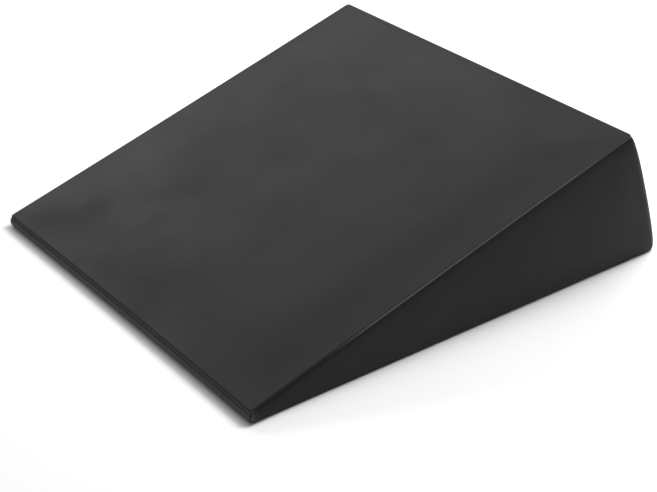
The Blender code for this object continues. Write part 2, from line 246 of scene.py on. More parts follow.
def open_cell_foam():
    s = Shader("foam", Roughness=0.95, Specular_IOR_Level=0.15)
    patches = s.noise(60.0, detail=5.0, roughness=0.6)
    s.set("Base Color", s.ramp(patches, (0.3, (0.40, 0.39, 0.35)), (0.7, (0.52, 0.51, 0.47))))
    pores = s.cells(1100.0, "F1")
    clumps = s.noise(420.0, detail=4.0, roughness=0.7)
    coarse = s.bump(clumps, 0.3 * MM, 0.5)
    s.set("Normal", s.bump(pores, 0.25 * MM, 0.8, coarse))
    return s.material


def zip_tape_weave():
    """A herringbone tape: fine ribs across it, crossed by diagonal twill lines."""
    s = Shader("zip_tape", Roughness=0.82, Specular_IOR_Level=0.3)
    face = s.turned((BACK_TILT, 0, 0))
    twill = s.turned((BACK_TILT, math.radians(38), 0))
    ribs = s.wave(560.0, "X", face)
    lines = s.wave(420.0, "X", twill)
    weave = s.math("MULTIPLY", s.spread(ribs, 0.55, 1.0), s.spread(lines, 0.6, 1.0))
    fuzz = s.noise(2600.0, detail=2.0)
    tone = s.math("MULTIPLY", weave, s.spread(fuzz, 0.8, 1.15))
    s.set("Base Color", s.ramp(tone, (0.25, grey(0.010)), (1.0, grey(0.027))))
    s.set("Normal", s.bump(weave, 0.12 * MM, 0.8))
    return s.material


def nylon_coil():
    s = Shader("zip_coil", Roughness=0.38, IOR=1.53)
    tone = s.noise(900.0, detail=2.0)
    s.set("Base Color", s.ramp(tone, (0.3, grey(0.011)), (0.7, grey(0.019))))
    s.set("Roughness", s.spread(s.noise(300.0), 0.30, 0.46))
    s.set("Normal", s.bump(s.noise(3500.0, detail=2.0), 0.01 * MM, 0.5))
    return s.material


def sewing_thread():
    """Twisted polyester: fine slanted plies and a slight fuzz."""
    s = Shader("thread", Roughness=0.7, Specular_IOR_Level=0.35)
    plies = s.wave(1900.0, "DIAGONAL", distortion=0.6)
    tone = s.math("MULTIPLY", s.spread(plies, 0.65, 1.0), s.spread(s.noise(1500.0), 0.85, 1.1))
    s.set("Base Color", s.ramp(tone, (0.4, grey(0.012)), (1.0, grey(0.030))))
    s.set("Normal", s.bump(plies, 0.06 * MM, 0.8))
    return s.material


def lacquered_zinc():
    """Die-cast zinc under a dark lacquer that is worn thin on its edges."""
    s = Shader("zip_metal", Metallic=1.0)
    edge = s.node("ShaderNodeNewGeometry").outputs["Pointiness"]
    worn = s.spread(edge, 0.0, 1.0, (0.52, 0.60))
    patchy = s.math("MULTIPLY", worn, s.spread(s.noise(900.0, detail=5.0), 0.0, 1.6, (0.35, 0.7)), clamp=True)
    s.set("Base Color", s.ramp(patchy, (0.0, (0.045, 0.045, 0.048)), (1.0, (0.30, 0.30, 0.31))))
    scuffs = s.noise(420.0, detail=6.0, roughness=0.7)
    s.set("Roughness", s.spread(scuffs, 0.26, 0.46, (0.3, 0.7)))
    s.set("Normal", s.bump(s.noise(1400.0, detail=4.0), 0.02 * MM, 0.35))
    return s.material


def satin_label():
    """Woven satin ribbon, left blank."""
    s = Shader("label_satin", Roughness=0.55, Specular_IOR_Level=0.4)
    face = s.turned((BACK_TILT, 0, 0))
    weft = s.wave(900.0, "Z", face)
    warp = s.wave(1300.0, "X", face)
    weave = s.math("ADD", s.math("MULTIPLY", weft, 0.7), s.math("MULTIPLY", warp, 0.3))
    clouds = s.spread(s.noise(45.0, detail=4.0), 0.93, 1.05)
    tone = s.math("MULTIPLY", s.spread(weave, 0.86, 1.0), clouds)
    s.set("Base Color", s.ramp(tone, (0.75, (0.30, 0.30, 0.293)), (1.0, (0.42, 0.42, 0.41))))
    s.set("Normal", s.bump(weave, 0.05 * MM, 0.6))
    return s.material


fabric = coated_fabric()
foam = open_cell_foam()
tape_weave = zip_tape_weave()
coil_nylon = nylon_coil()
thread = sewing_thread()
metal = lacquered_zinc()
satin = satin_label()

# --- Mesh helpers


def mesh_object(name, points, faces, material, smooth=True):
    mesh = bpy.data.meshes.new(name)
    mesh.from_pydata([tuple(p) for p in points], [], faces)
    if material:
        mesh.materials.append(material)
    if smooth:
        mesh.shade_smooth()
    obj = bpy.data.objects.new(name, mesh)
    bpy.context.scene.collection.objects.link(obj)
    return obj


def face_outward(obj, outward):
    """Turns the faces over if most of them look the other way."""
    votes = sum(1 if p.normal.dot(outward) > 0 else -1 for p in obj.data.polygons)
    if votes < 0:
        obj.data.flip_normals()


def merge_close(obj, distance):
    shape = bmesh.new()
    shape.from_mesh(obj.data)
    bmesh.ops.remove_doubles(shape, verts=shape.verts, dist=distance)
    bmesh.ops.dissolve_degenerate(shape, edges=shape.edges, dist=distance)
    shape.to_mesh(obj.data)
    shape.free()


def outward_normals(obj):
    shape = bmesh.new()
    shape.from_mesh(obj.data)
    bmesh.ops.recalc_face_normals(shape, faces=shape.faces)
    shape.to_mesh(obj.data)
    shape.free()


def grid_faces(rows, columns, closed=False, first=0):
    """Quads over vertices stored row by row. closed joins the last column to the first."""
    faces = []
    for r in range(rows - 1):
        for c in range(columns if closed else columns - 1):
            a = first + r * columns + c
            b = first + r * columns + (c + 1) % columns
            faces.append((a, b, b + columns, a + columns))
    return faces


def subdivide_once(obj):
    smooth = obj.modifiers.new("smooth", "SUBSURF")
    smooth.levels = 1
    smooth.render_levels = 1


def give_thickness(obj, thickness):
    solidify = obj.modifiers.new("thickness", "SOLIDIFY")
    solidify.thickness = thickness
    solidify.offset = -1.0
    solidify.use_even_offset = False
    subdivide_once(obj)


def belongs(piece, slot, *nodes, body=ROOT):
    """Hides the nodes that a piece stands for and parents the piece to the body that it moves with. slot, the
    piece's finish, is not used.
    """
    if nodes:
        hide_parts(*nodes)
    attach(piece, body)
    return piece


def tube_mesh(path, radius, sides, closed):
    """Points and faces of a round thread along a path."""
    path = np.asarray(path, float)
    if closed:
        tangents = np.roll(path, -1, axis=0) - np.roll(path, 1, axis=0)
    else:
        tangents = np.gradient(path, axis=0)
    tangents /= np.linalg.norm(tangents, axis=1)[:, None]
    across = np.cross(tangents[0], (0.31, 0.52, 0.79))
    turns = [(math.cos(2 * math.pi * k / sides), math.sin(2 * math.pi * k / sides)) for k in range(sides)]
    points = []
    for spot, tangent in zip(path, tangents):
        across = across - tangent * (across @ tangent)
        across = across / math.sqrt(across @ across)
        up = np.cross(tangent, across)
        points += [spot + radius * (c * across + s * up) for c, s in turns]
    faces = grid_faces(len(path), sides, closed=True)
    last = (len(path) - 1) * sides
    if closed:
        faces += [(last + k, last + (k + 1) % sides, (k + 1) % sides, k) for k in range(sides)]
    else:
        faces.append(tuple(reversed(range(sides))))
        faces.append(tuple(last + k for k in range(sides)))
    return points, faces


def tubes(name, paths, radius, material, sides=6, closed=False):
    """One or more round threads in one mesh."""
    points, faces = [], []
    for path in paths:
        new_points, new_faces = tube_mesh(path, radius, sides, closed)
        faces += [tuple(len(points) + i for i in face) for face in new_faces]
        points += new_points
    made = mesh_object(name, points, faces, material)
    outward_normals(made)
    return made


# --- The wedge's outline

STATION_STEP = 6.5 * MM
CORNER_STEPS = 9
INNER_INSET = 18 * MM  # where the rings round a face panel give way to a plain grid

# Corner radii in plan, on the base and at the top edge. The foam fills the cover's corners less at the base.
FRONT_RADII = (3.6 * MM, 3.0 * MM)
BACK_RADII = (11.0 * MM, 4.5 * MM)


def corner_radius(end, height):
    low, high = BACK_RADII if end > 0 else FRONT_RADII
    return low + (high - low) * height


class Station:
    """A place on the outline. side and end are -1, 0 or 1. A corner has a turn, in radians from +X. The front
    and back have across, from -1 to 1, or x. A side has along, from 0 to 1."""

    def __init__(self, side, end, turn=None, across=0.0, along=0.0, x=None):
        self.side = side
        self.end = end
        self.turn = turn
        self.across = across
        self.along = along
        self.x = x

    def plan(self, inset, height):
        """x and y at some inset from the outline, where height is 0 on the base and 1 at the top edge."""
        back = BACK_Y + (TOP_BACK_Y - BACK_Y) * height
        radius = corner_radius(self.end, height)
        end_y = back if self.end > 0 else FRONT_Y
        if self.turn is not None:
            left = radius - inset
            centre_x = self.side * (HALF_WIDTH - radius)
            centre_y = end_y - self.end * radius
            if left >= 0:
                return centre_x + left * math.cos(self.turn), centre_y + left * math.sin(self.turn)
            return centre_x + left * self.side, centre_y + left * self.end
        if self.side:
            low = FRONT_Y + max(inset, corner_radius(-1, height))
            high = back - max(inset, corner_radius(1, height))
            return self.side * (HALF_WIDTH - inset), low + (high - low) * self.along
        x = self.x if self.x is not None else self.across * (HALF_WIDTH - max(inset, radius))
        return x, end_y - self.end * inset

    def outward(self):
        """The outward direction in plan."""
        if self.turn is not None:
            return Vector((math.cos(self.turn), math.sin(self.turn), 0))
        return Vector((self.side, 0, 0)) if self.side else Vector((0, self.end, 0))

    def base_point(self):
        x, y = self.plan(0.0, 0.0)
        return Vector((x, y, 0))

    def top_point(self):
        x, y = self.plan(0.0, 1.0)
        return Vector((x, y, top_z(y)))

    def up(self):
        return (self.top_point() - self.base_point()).normalized()

    def normal(self):
        run = Vector((0, 0, 1)).cross(self.outward())
        return run.cross(self.up()).normalized()


def corner(side, end, first, last, steps=CORNER_STEPS):
    turns = [first + (last - first) * i / steps for i in range(steps + 1)]
    return [Station(side, end, turn=math.radians(turn)) for turn in turns]


def shares(count):
    return [i / count for i in range(1, count)]


ACROSS_COUNT = round(2 * HALF_WIDTH / STATION_STEP)
ALONG_COUNT = round((TOP_BACK_Y - FRONT_Y) / STATION_STEP)


def full_outline():
    """Stations all round, anticlockwise from the front right corner."""
    right = [Station(1, 0, along=t) for t in shares(ALONG_COUNT)]
    back = [Station(0, 1, across=1 - 2 * t) for t in shares(ACROSS_COUNT)]
    left = [Station(-1, 0, along=1 - t) for t in shares(ALONG_COUNT)]
    front = [Station(0, -1, across=2 * t - 1) for t in shares(ACROSS_COUNT)]
    right_part = corner(1, -1, -90, 0) + right + corner(1, 1, 0, 90)
    return right_part + back + corner(-1, 1, 90, 180) + left + corner(-1, -1, 180, 270) + front


OUTLINE = full_outline()


def seam_angle(first, second):
    """The angle inside the material where two panels with these outward normals meet."""
    return math.pi - first.angle(second)


# --- How the cover swells over the foam: by the sizes below, scaled a little by a cloth simulation

VOXEL = 6 * MM
PINNED_WITHIN = 10 * MM  # of a seam
CLOTH_FRAMES = 20
CLOTH_SETTINGS = {
    "quality": 6,
    "mass": 0.5,
    "tension_stiffness": 150,
    "compression_stiffness": 150,
    "shear_stiffness": 60,
    "bending_stiffness": 60,
    "vertex_group_mass": "held",
    "use_pressure": True,
    "uniform_pressure_force": 4,
}


def ideal_wedge():
    rings = [[s.base_point() for s in OUTLINE], [s.top_point() for s in OUTLINE]]
    count = len(OUTLINE)
    faces = [tuple(reversed(range(count))), tuple(range(count, 2 * count))]
    faces += grid_faces(2, count, closed=True)
    return mesh_object("cover_form", rings[0] + rings[1], faces, None)


def remesh(obj, voxel):
    modifier = obj.modifiers.new("even", "REMESH")
    modifier.mode = "VOXEL"
    modifier.voxel_size = voxel
    bpy.context.view_layer.update()
    graph = bpy.context.evaluated_depsgraph_get()
    made = bpy.data.meshes.new_from_object(obj.evaluated_get(graph))
    obj.modifiers.clear()
    obj.data = made


def ease(value, low, high):
    share = np.clip((value - low) / (high - low), 0, 1)
    return share * share * (3 - 2 * share)


def distance_to_top_seam(points):
    ring = np.array([s.top_point() for s in OUTLINE])
    nearest = np.full(len(points), 1.0)
    for a, b in zip(ring, np.roll(ring, -1, axis=0)):
        run = b - a
        t = np.clip((points - a) @ run / max(run @ run, 1e-12), 0, 1)
        nearest = np.minimum(nearest, np.linalg.norm(points - a - t[:, None] * run, axis=1))
    return nearest


def inflate(form, from_seam):
    """Swells the form by air pressure with its seams held, and returns where its vertices end."""
    held = form.vertex_groups.new(name="held")
    weights = 1 - ease(from_seam, PINNED_WITHIN / 2, PINNED_WITHIN)
    for index in np.flatnonzero(weights > 0):
        held.add([int(index)], float(weights[index]), "REPLACE")
    cloth = form.modifiers.new("cloth", "CLOTH")
    for setting, value in CLOTH_SETTINGS.items():
        setattr(cloth.settings, setting, value)
    cloth.settings.effector_weights.gravity = 0
    cloth.collision_settings.use_collision = False
    cloth.point_cache.frame_start = 1
    cloth.point_cache.frame_end = CLOTH_FRAMES
    for step in range(1, CLOTH_FRAMES + 1):
        bpy.context.scene.frame_set(step)
    graph = bpy.context.evaluated_depsgraph_get()
    moved = np.array([v.co for v in form.evaluated_get(graph).to_mesh().vertices])
    form.modifiers.clear()
    bpy.context.scene.frame_set(1)
    return moved


CROWN = 3.6 * MM  # most rise in the middle of the sloping top
CROWN_WITHIN = 85 * MM  # of the seam, the crown falls away
LOW_CROWN = 0.55  # share of the crown at the lip
CROWN_WHOLE = 0.4  # of the way up the slope, from where it is whole
WALL_SWELL = (1.4 * MM, 7.0 * MM)  # of the lowest and of the tallest stretch of wall
LIP_SWELL = 1.1 * MM  # more than that, round the lip
LIP_FADE = (4 * MM, 45 * MM)  # behind the front, where that ends
ZIP_CALM = (13 * MM, 46 * MM)  # from the zip, where the back begins to swell and where it swells freely
CORNER_CALM = (7 * MM, 18 * MM)  # in from the sides, where the zip's calm begins
SLACK = 0.75 * MM
WALL_SLACK = 0.8  # share of it on the walls
SLACK_TALL = 90 * MM  # a lower wall has less
SIDE_PULL = 1.4 * MM  # how far the long top seams bow inwards
FRONT_PULL = 1.5 * MM  # and how far the lip does
SIDE_PULL_WITHIN = 90 * MM
FRONT_PULL_WITHIN = 80 * MM
FULL_GIVE = 2 * MM  # a simulated swell well beyond this takes all that is allowed
LEAST_GIVE = 0.75  # of it, where the simulated cover hardly swells


def give_of_cover():
    """(tree, points, faces, shares) of a plain wedge. A share is how much of the allowed swell a vertex
    takes."""
    form = ideal_wedge()
    remesh(form, VOXEL)
    plain = np.array([v.co for v in form.data.vertices])
    normals = np.array([v.normal for v in form.data.vertices])
    corners = [tuple(p.vertices) for p in form.data.polygons]
    share = np.ones(len(plain))
    from_seam = np.minimum(distance_to_top_seam(plain), plain[:, 2])
    out = ((inflate(form, from_seam) - plain) * normals).sum(1)
    share = LEAST_GIVE + (1 - LEAST_GIVE) * np.tanh(np.maximum(out, 0) / FULL_GIVE)
    tree = BVHTree.FromPolygons(plain.tolist(), corners)
    bpy.data.objects.remove(form)
    return tree, plain, corners, share


give_tree, give_points, give_corners, give_shares = give_of_cover()


def give_at(point):
    spot, _, index, _ = give_tree.find_nearest(point)
    ring = give_corners[index]
    weights = poly_3d_calc([Vector(give_points[i]) for i in ring], spot)
    return float(sum(w * give_shares[i] for w, i in zip(weights, ring)))


def slackness(point):
    """Soft hills and hollows, longer along one diagonal than across it."""
    along = point.x * 0.62 + point.y * 0.78
    across = point.y * 0.62 - point.x * 0.78
    place = Vector((along * 4.5, across * 10.5, point.z * 8.0))
    return noise.noise(place) + 0.4 * noise.noise(place * 2.3 + Vector((7, 3, 1)))


def rounded_share(value):
    """Rises quickly from 0 at either end, as a panel swells beside a seam."""
    value = min(max(value, 0.0), 1.0)
    return (4 * value * (1 - value)) ** 0.42


def top_swell(point):
    """Outward movement of the sloping panel at a point on it."""
    share = (point.y - FRONT_Y) / (TOP_BACK_Y - FRONT_Y)
    edge = min(HALF_WIDTH - abs(point.x), point.y - FRONT_Y, TOP_BACK_Y - point.y)
    free = float(ease(edge, 3 * MM, CROWN_WITHIN))
    loose = float(ease(edge, 2 * MM, 30 * MM))
    crown = CROWN * free * (LOW_CROWN + (1 - LOW_CROWN) * min(1.0, share / CROWN_WHOLE))
    return crown * give_at(point) + SLACK * slackness(point) * loose


def wall_swell(point, height, tall, start, end):
    """Outward movement of an upright panel, at a height up it. It is held at start and end."""
    low, high = WALL_SWELL
    most = low + (high - low) * min(1.0, tall / TALL)
    most += LIP_SWELL * (1 - float(ease(point.y - FRONT_Y, *LIP_FADE)))
    share = (height - start) / max(end - start, 1e-6)
    swell = most * rounded_share(share) * give_at(point)
    loose = rounded_share(share) * min(1.0, tall / SLACK_TALL)
    _, up, out = back_face_spot(point)
    if abs(out) < 20 * MM:
        reach = float(ease(HALF_WIDTH - abs(point.x), *CORNER_CALM))
        calm = 1 - reach * (1 - float(ease(abs(up - ZIP_UP), *ZIP_CALM)))
        swell *= calm
        loose *= calm
    return swell + SLACK * WALL_SLACK * slackness(point) * loose


def seam_pull(point):
    """The tight cover draws the middle of each long edge in."""
    share = min(max((point.y - FRONT_Y) / (TOP_BACK_Y - FRONT_Y), 0.0), 1.0)
    height = min(1.0, point.z / max(top_z(point.y), 1e-6))
    sides = float(ease(abs(point.x), HALF_WIDTH - SIDE_PULL_WITHIN, HALF_WIDTH))
    pull_x = SIDE_PULL * 4 * share * (1 - share) * height * sides
    ahead = float(ease(FRONT_Y + FRONT_PULL_WITHIN - point.y, 0, FRONT_PULL_WITHIN))
    pull_y = FRONT_PULL * (1 - (point.x / HALF_WIDTH) ** 2) * ahead
    return Vector((-math.copysign(pull_x, point.x), pull_y, 0))


# --- Seams. The sloping panel wraps over its edge and the seam lies just below it. Each wall wraps under its
# foot in the same way. Profiles are (inset, depth) in the panel's own plane, starting at its raw edge.

WRAP_R = 1.9 * MM
WRAP_RUN = 0.5 * MM  # past the roll, before the edge turns in
CURL_R = 0.6 * MM
CURL_GAP = 0.15 * MM
LEVEL_CURL_R = 0.35 * MM  # where two panels meet in one plane
LEVEL_GAP = 0.08 * MM
ALLOWANCE = 3.0 * MM
WRAP_STEPS = 7
CURL_STEPS = 3
FLAT_ROWS = (1.5 * MM, 3.5 * MM, 7.0 * MM)  # beyond the roll


def wrap_profile(angle):
    """Of the panel that wraps over the edge. angle is the one inside the material."""
    reach = WRAP_R / math.tan(angle / 2)
    along = np.array([math.cos(angle), math.sin(angle)])
    outward = np.array([-math.sin(angle), math.cos(angle)])
    centre = along * (reach + WRAP_RUN) - CURL_R * outward
    found = [centre + CURL_R * along - share * ALLOWANCE * outward for share in (1.0, 0.5)]
    for i in range(CURL_STEPS + 1):
        turn = math.pi / 2 * (1 - i / CURL_STEPS)
        found.append(centre + CURL_R * (outward * math.cos(turn) + along * math.sin(turn)))
    for i in range(WRAP_STEPS + 1):
        turn = (math.pi - angle) * (1 - i / WRAP_STEPS)
        found.append(np.array([reach - WRAP_R * math.sin(turn), WRAP_R - WRAP_R * math.cos(turn)]))
    return [(float(inset), float(depth)) for inset, depth in found]


def roll_up(start, radius, steps, whole=math.pi / 2):
    """An edge that rolls up to the face from under it, turning by whole."""
    turns = [whole * (1 - i / steps) for i in range(steps + 1)]
    return [(start + radius * (1 - math.sin(t)), radius * (1 - math.cos(t))) for t in turns]


def butt_profile(angle):
    """Of the panel that ends against the wrapped edge of its neighbour."""
    start = WRAP_R / math.tan(angle / 2) + WRAP_RUN + CURL_R + CURL_GAP
    inner = [(start, CURL_R + share * ALLOWANCE) for share in (1.0, 0.5)]
    return inner + roll_up(start, CURL_R, CURL_STEPS + 1)


def level_seam_profile():
    """Of a panel that meets its neighbour in one plane."""
    return roll_up(LEVEL_GAP / 2, LEVEL_CURL_R, CURL_STEPS + 1)


FOLD_R = 0.5 * MM
FOLD_UNDER = 5 * MM
FOLD_STEPS = 8


def fold_profile():
    """Of a panel that is folded back on itself, beside the zip."""
    return [(FOLD_UNDER, 2 * FOLD_R), (2 * FOLD_R, 2 * FOLD_R)] + roll_up(0.0, FOLD_R, FOLD_STEPS, math.pi)


# --- The cover's panels

FABRIC = 0.6 * MM

# Painted highlight on the top edges and painted light over the lip, with some edge wear
HIGHLIGHT_WEAR_FROM = 85 * MM  # along the sides from the lip, where the painted highlight line, with some edge wear, begins
HIGHLIGHT_WEAR_FULL = 150 * MM
HIGHLIGHT_WEAR_BACK = 0.5  # how strong the painted highlight on the edge is at the tall end, as a share of the rest
LIP_HIGHLIGHT_WEAR = 0.62
BAND_HIGHLIGHT_WEAR_DROP = 0.14  # less than that, on the band below the seam


def highlight_wear_at(point):
    """How much painted light, with some edge wear, the cover takes: a painted highlight on the lower half of
    the roll along the top edges, and painted light all over the lip.
    """
    below = top_z(point.y) - point.z
    side, back = HALF_WIDTH - abs(point.x), -back_face_spot(point)[2]
    roll = float(ease(below, 0.2 * MM, 1.1 * MM)) * (1 - float(ease(below, 3.0 * MM, 3.8 * MM)))
    roll *= 1 - float(ease(min(side, back), 2.0 * MM, 3.5 * MM))
    roll *= float(ease(point.y - FRONT_Y, HIGHLIGHT_WEAR_FROM, HIGHLIGHT_WEAR_FULL))
    roll *= HIGHLIGHT_WEAR_BACK + (1 - HIGHLIGHT_WEAR_BACK) * float(ease(back, 0, 110 * MM))
    lip = 1 - float(ease(point.y - FRONT_Y, 2 * MM, 4 * MM))
    lip *= float(ease(point.z, 1 * MM, 3 * MM)) * float(ease(below, 0.4 * MM, 1.6 * MM))
    lip *= LIP_HIGHLIGHT_WEAR - BAND_HIGHLIGHT_WEAR_DROP * float(ease(below, 2.4 * MM, 4 * MM))
    return max(roll, lip)


def finish_panel(name, node, points, faces, outward):
    placed = [p + seam_pull(p) for p in points]
    panel = mesh_object(name, [(p.x, p.y, max(p.z, 0.0)) for p in placed], faces, fabric)
    # painted highlight and painted light, with some edge wear, kept on each vertex for the fabric's colour
    highlight_wear = panel.data.attributes.new("highlight_wear", "FLOAT", "POINT")
    highlight_wear.data.foreach_set("value", [highlight_wear_at(p) for p in points])
    merge_close(panel, 0.02 * MM)
    face_outward(panel, outward)
    give_thickness(panel, FABRIC)
    belongs(panel, "coated_fabric", node)


def face_panel(name, node, height, normal, profile):
    """The top or the base: rings round the outline, then a plain grid inside them."""

    def lift(x, y):
        return Vector((x, y, top_z(y) if height else 0.0))

    def swollen(x, y):
        point = lift(x, y)
        return point + normal * top_swell(point) if height else point

    profiles = [profile(seam_angle(normal, s.normal())) for s in OUTLINE]
    rows = []
    for k in range(len(profiles[0])):
        pairs = [(s, p[k]) for s, p in zip(OUTLINE, profiles)]
        rows.append([lift(*s.plan(inset, height)) - depth * normal for s, (inset, depth) in pairs])
    for extra in FLAT_ROWS:
        rows.append([swollen(*s.plan(p[-1][0] + extra, height)) for s, p in zip(OUTLINE, profiles)])
    rows.append([swollen(*s.plan(INNER_INSET, height)) for s in OUTLINE])
    points = [p for row in rows for p in row]
    faces = grid_faces(len(rows), len(OUTLINE), closed=True)
    reach = HALF_WIDTH - INNER_INSET
    front = FRONT_Y + INNER_INSET
    back = (TOP_BACK_Y if height else BACK_Y) - INNER_INSET
    first = len(points)
    for along in [0.0, *shares(ALONG_COUNT), 1.0]:
        for across in [-1.0, *[2 * t - 1 for t in shares(ACROSS_COUNT)], 1.0]:
            points.append(swollen(across * reach, front + (back - front) * along))
    faces += grid_faces(ALONG_COUNT + 1, ACROSS_COUNT + 1, first=first)
    finish_panel(name, node, points, faces, normal)


class Wall:
    """A stretch of the upright walls, measured from its first station."""

    def __init__(self, stations):
        self.base = [s.base_point() for s in stations]
        self.top = [s.top_point() for s in stations]
        self.normals = [s.normal() for s in stations]
        steps = [(b - a).length for a, b in zip(self.base, self.base[1:])]
        self.marks = np.concatenate([[0.0], np.cumsum(steps)])
        self.length = float(self.marks[-1])

    def at(self, distance):
        """(base point, top point, outward normal) at a distance along the wall."""
        i = int(np.clip(np.searchsorted(self.marks, distance) - 1, 0, len(self.marks) - 2))
        share = (distance - self.marks[i]) / (self.marks[i + 1] - self.marks[i])
        base = self.base[i].lerp(self.base[i + 1], share)
        top = self.top[i].lerp(self.top[i + 1], share)
        return base, top, self.normals[i].lerp(self.normals[i + 1], share).normalized()

    def columns(self):
        """(distance, depth) of each column of vertices."""
        edge = level_seam_profile()
        near = edge[-1][0] + 0.8 * MM
        far = self.length - near
        between = [float(m) for m in self.marks if near + 0.7 * MM < m < far - 0.7 * MM]
        found = edge + [(near, 0.0)] + [(m, 0.0) for m in between] + [(far, 0.0)]
        return found + [(self.length - inset, depth) for inset, depth in reversed(edge)]


def wall_panel(name, node, stations, low=None, high=None):
    """low and high are distances up the wall where the panel is folded. Without them it runs to the seam."""
    wall = Wall(stations)
    columns = wall.columns()
    tallest = max((t - b).length for b, t in zip(wall.base, wall.top))
    span = (tallest if high is None else high) - (low or 0.0)
    inner_rows = max(3, round(span / STATION_STEP))
    points = []
    for distance, sunk in columns:
        base, top, normal = wall.at(distance)
        up = (top - base).normalized()
        tall = (top - base).length
        if low is None:
            first = wrap_profile(seam_angle(normal, DOWN))
        else:
            first = [(low + v, d) for v, d in fold_profile()]
        if high is None:
            last = [(tall - v, d) for v, d in reversed(butt_profile(seam_angle(normal, TOP_NORMAL)))]
        else:
            last = [(high - v, d) for v, d in reversed(fold_profile())]
        start, end = first[-1][0], last[0][0]
        margin = min(1.0 * MM, (end - start) * 0.15)
        gap = (end - start - 2 * margin) / inner_rows
        between = [(start + margin + gap * i, 0.0) for i in range(inner_rows + 1)]
        hold = 1 - sunk / LEVEL_CURL_R
        for v, depth in first + between + last:
            spot = base + up * v
            swell = hold * wall_swell(spot, v, tall, start, end) if start < v < end else 0.0
            points.append(spot + normal * (swell - depth - sunk))
    rows = len(points) // len(columns)
    middle = wall.at(wall.length / 2)[2]
    finish_panel(name, node, points, grid_faces(len(columns), rows), middle)


SIDE_SEAM_X = (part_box("back_upper_panel")[1].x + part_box("right_side_panel")[0].x) / 2


def side_stations(side):
    """From the front corner's middle, along the side and round the back corner, to the seam there."""
    run = [Station(side, 0, along=t) for t in shares(ALONG_COUNT)]
    left = HALF_WIDTH - BACK_RADII[0] - SIDE_SEAM_X
    wrap = [Station(0, 1, x=side * (SIDE_SEAM_X + left * t)) for t in (0, 0.3, 0.65)]
    if side > 0:
        return corner(1, -1, -45, 0) + run + corner(1, 1, 0, 90) + wrap[::-1]
    return wrap + corner(-1, 1, 90, 180) + run[::-1] + corner(-1, -1, 180, 225)


def build_cover():
    face_panel("cover_top", "top_panel", 1, TOP_NORMAL, wrap_profile)
    face_panel("cover_base", "base_panel", 0, DOWN, butt_profile)
    wall_panel("cover_side_right", "right_side_panel", side_stations(1))
    wall_panel("cover_side_left", "left_side_panel", side_stations(-1))
    front_run = [Station(0, -1, across=2 * t - 1) for t in shares(ACROSS_COUNT)]
    front = corner(-1, -1, 225, 270) + front_run + corner(1, -1, -90, -45)
    wall_panel("cover_front", "front_band", front)
    back = [Station(0, 1, x=SIDE_SEAM_X * (1 - 2 * t)) for t in [0.0, *shares(ACROSS_COUNT), 1.0]]
    lower_edge = box_on_back("back_lower_panel")[1][1]
    upper_edge = box_on_back("back_upper_panel")[0][1]
    wall_panel("cover_back_lower", "back_lower_panel", back, high=lower_edge)
    wall_panel("cover_back_upper", "back_upper_panel", back, low=upper_edge)


build_cover()

# --- The foam

FOAM_INSET = 2.6 * MM
FOAM_CHAMFER = 5 * MM
FOAM_VOXEL = 4.5 * MM
GROOVE_HALF = 9 * MM
GROOVE_DEPTH = 3.4 * MM


def build_foam():
    """The cut block: soft rounded edges, slightly uneven faces, and a channel behind the zip."""
    rings = []
    for inset, rise, height in (
        (FOAM_INSET + FOAM_CHAMFER, FOAM_INSET, 0),
        (FOAM_INSET, FOAM_INSET + FOAM_CHAMFER, 0),
        (FOAM_INSET, -FOAM_INSET - FOAM_CHAMFER, 1),
        (FOAM_INSET + FOAM_CHAMFER, -FOAM_INSET, 1),
    ):
        ring = []
        for s in OUTLINE:
            x, y = s.plan(inset, height)
            foot = Vector((x, y, 0)) + s.up() * (rise / s.up().z)
            ring.append(Vector((x, y, top_z(y) + rise)) if height else foot)
        rings.append(ring)
    count = len(OUTLINE)
    faces = [tuple(reversed(range(count))), tuple(range(3 * count, 4 * count))]
    faces += grid_faces(4, count, closed=True)
    block = mesh_object("foam_block", [p for ring in rings for p in ring], faces, foam)
    outward_normals(block)
    remesh(block, FOAM_VOXEL)
    normals = [v.normal.copy() for v in block.data.vertices]
    for vertex, normal in zip(block.data.vertices, normals):
        point = vertex.co.copy()
        uneven = 0.25 * MM * noise.noise(point * 45)
        x, up, out = back_face_spot(point)
        in_groove = 1 - float(ease(abs(up - ZIP_UP), GROOVE_HALF - 2 * MM, GROOVE_HALF + 2 * MM))
        sunk = max(0.0, out + FOAM_INSET + GROOVE_DEPTH) * in_groove
        vertex.co = point + seam_pull(point) + normal * uneven - sunk * BACK_NORMAL
    block.data.materials.clear()
    block.data.materials.append(foam)
    block.data.shade_smooth()
    subdivide_once(block)
    belongs(block, "foam", "foam_core")
    return block


foam_block = build_foam()

# --- The zip

SPLAY = 1.5 * MM
SPLAY_FROM = -2.5 * MM  # along the slider, from its middle
SPLAY_TO = 0.5 * MM
TAPE_EDGE = 0.3 * MM  # from the zip's centre line
TAPE_THICKNESS = 0.5 * MM
TAPE_STEP = 2.5 * MM
PITCH = 1.5 * MM
WIRE_R = 0.25 * MM
COIL_INNER = -0.15 * MM  # the heads reach over the centre line, between the other half's
COIL_OUTER = 2.55 * MM
COIL_LOW_OUT = -0.70 * MM
COIL_TOP_OUT = 1.10 * MM
POINTS_PER_TURN = 14
COIL_STITCH_ROWS = (("inner", 1.15 * MM), ("outer", 2.0 * MM))  # from the zip's centre line
COIL_STITCH_R = 0.11 * MM
COIL_STITCH_DIP = 0.16 * MM
COIL_STITCH_OUT = COIL_TOP_OUT + WIRE_R - 0.08 * MM


def splay(x):
    """How far a half of the chain stands off the centre line, as it opens inside the slider at rest."""
    return SPLAY * float(ease(x - SLIDER_X, SPLAY_FROM, SPLAY_TO))


def rounded_wave(turn):
    """A cosine with flatter tops, for the long shape of a coil's turns."""
    wave = math.cos(turn)
    return math.copysign(abs(wave) ** 0.65, wave)


